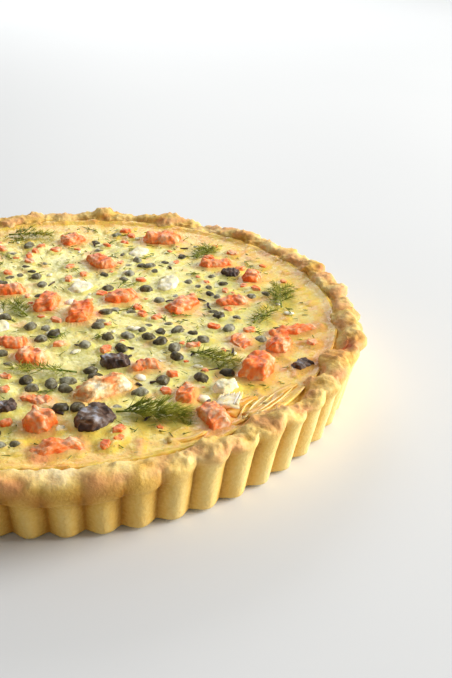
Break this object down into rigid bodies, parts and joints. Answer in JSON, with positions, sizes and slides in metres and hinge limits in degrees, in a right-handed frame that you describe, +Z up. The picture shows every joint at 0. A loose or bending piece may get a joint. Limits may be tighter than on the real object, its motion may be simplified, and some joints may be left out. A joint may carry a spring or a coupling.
{
  "type": "quiche",
  "caption": "Round quiche in a fluted shortcrust shell with set egg custard, smoked salmon, capers, soft cheese, onion and dill, out of its tin.",
  "frame": {"origin": "middle of the flat base of the pastry shell, on the surface that the quiche rests on", "axes": "+Z straight up through the middle of the quiche; -Y towards the side that faces the picture, +X to its right"},
  "size_m": [0.2384, 0.238, 0.0291],
  "materials": {
    "pastry": "baked shortcrust, matte",
    "custard": "set egg custard, moist",
    "salmon": "cooked smoked salmon, moist",
    "toasted_salmon": "salmon under browned cheese",
    "cheese": "soft melted cheese",
    "onion": "dark cooked onion, moist",
    "dill": "fresh dill fronds",
    "caper": "brined capers, moist"
  },
  "bodies": {
    "root": {"crust": "pastry", "filling": "custard", "salmon_1": "salmon", "salmon_2": "salmon", "salmon_3": "salmon", "salmon_4": "salmon", "salmon_5": "salmon", "salmon_6": "salmon", "salmon_7": "salmon", "salmon_8": "salmon", "salmon_9": "salmon", "salmon_10": "salmon", "salmon_11": "salmon", "salmon_12": "salmon", "salmon_13": "salmon", "salmon_14": "salmon", "salmon_15": "salmon", "salmon_16": "salmon", "salmon_17": "salmon", "salmon_18": "salmon", "salmon_19": "salmon", "salmon_20": "salmon", "salmon_21": "salmon", "salmon_22": "salmon", "salmon_23": "salmon", "salmon_24": "salmon", "salmon_25": "salmon", "salmon_26": "salmon", "salmon_27": "salmon", "salmon_28": "salmon", "salmon_29": "salmon", "salmon_30": "salmon", "salmon_31": "salmon", "salmon_toasted": "toasted_salmon", "cheese_1": "cheese", "cheese_2": "cheese", "cheese_3": "cheese", "cheese_4": "cheese", "cheese_5": "cheese", "cheese_6": "cheese", "cheese_7": "cheese", "onion_1": "onion", "onion_2": "onion", "onion_3": "onion", "onion_4": "onion", "onion_5": "onion", "onion_6": "onion", "dill_1": "dill", "dill_2": "dill", "dill_3": "dill", "dill_4": "dill", "dill_5": "dill", "dill_6": "dill", "dill_7": "dill", "dill_8": "dill", "dill_9": "dill", "dill_10": "dill"}
  },
  "joints": []
}
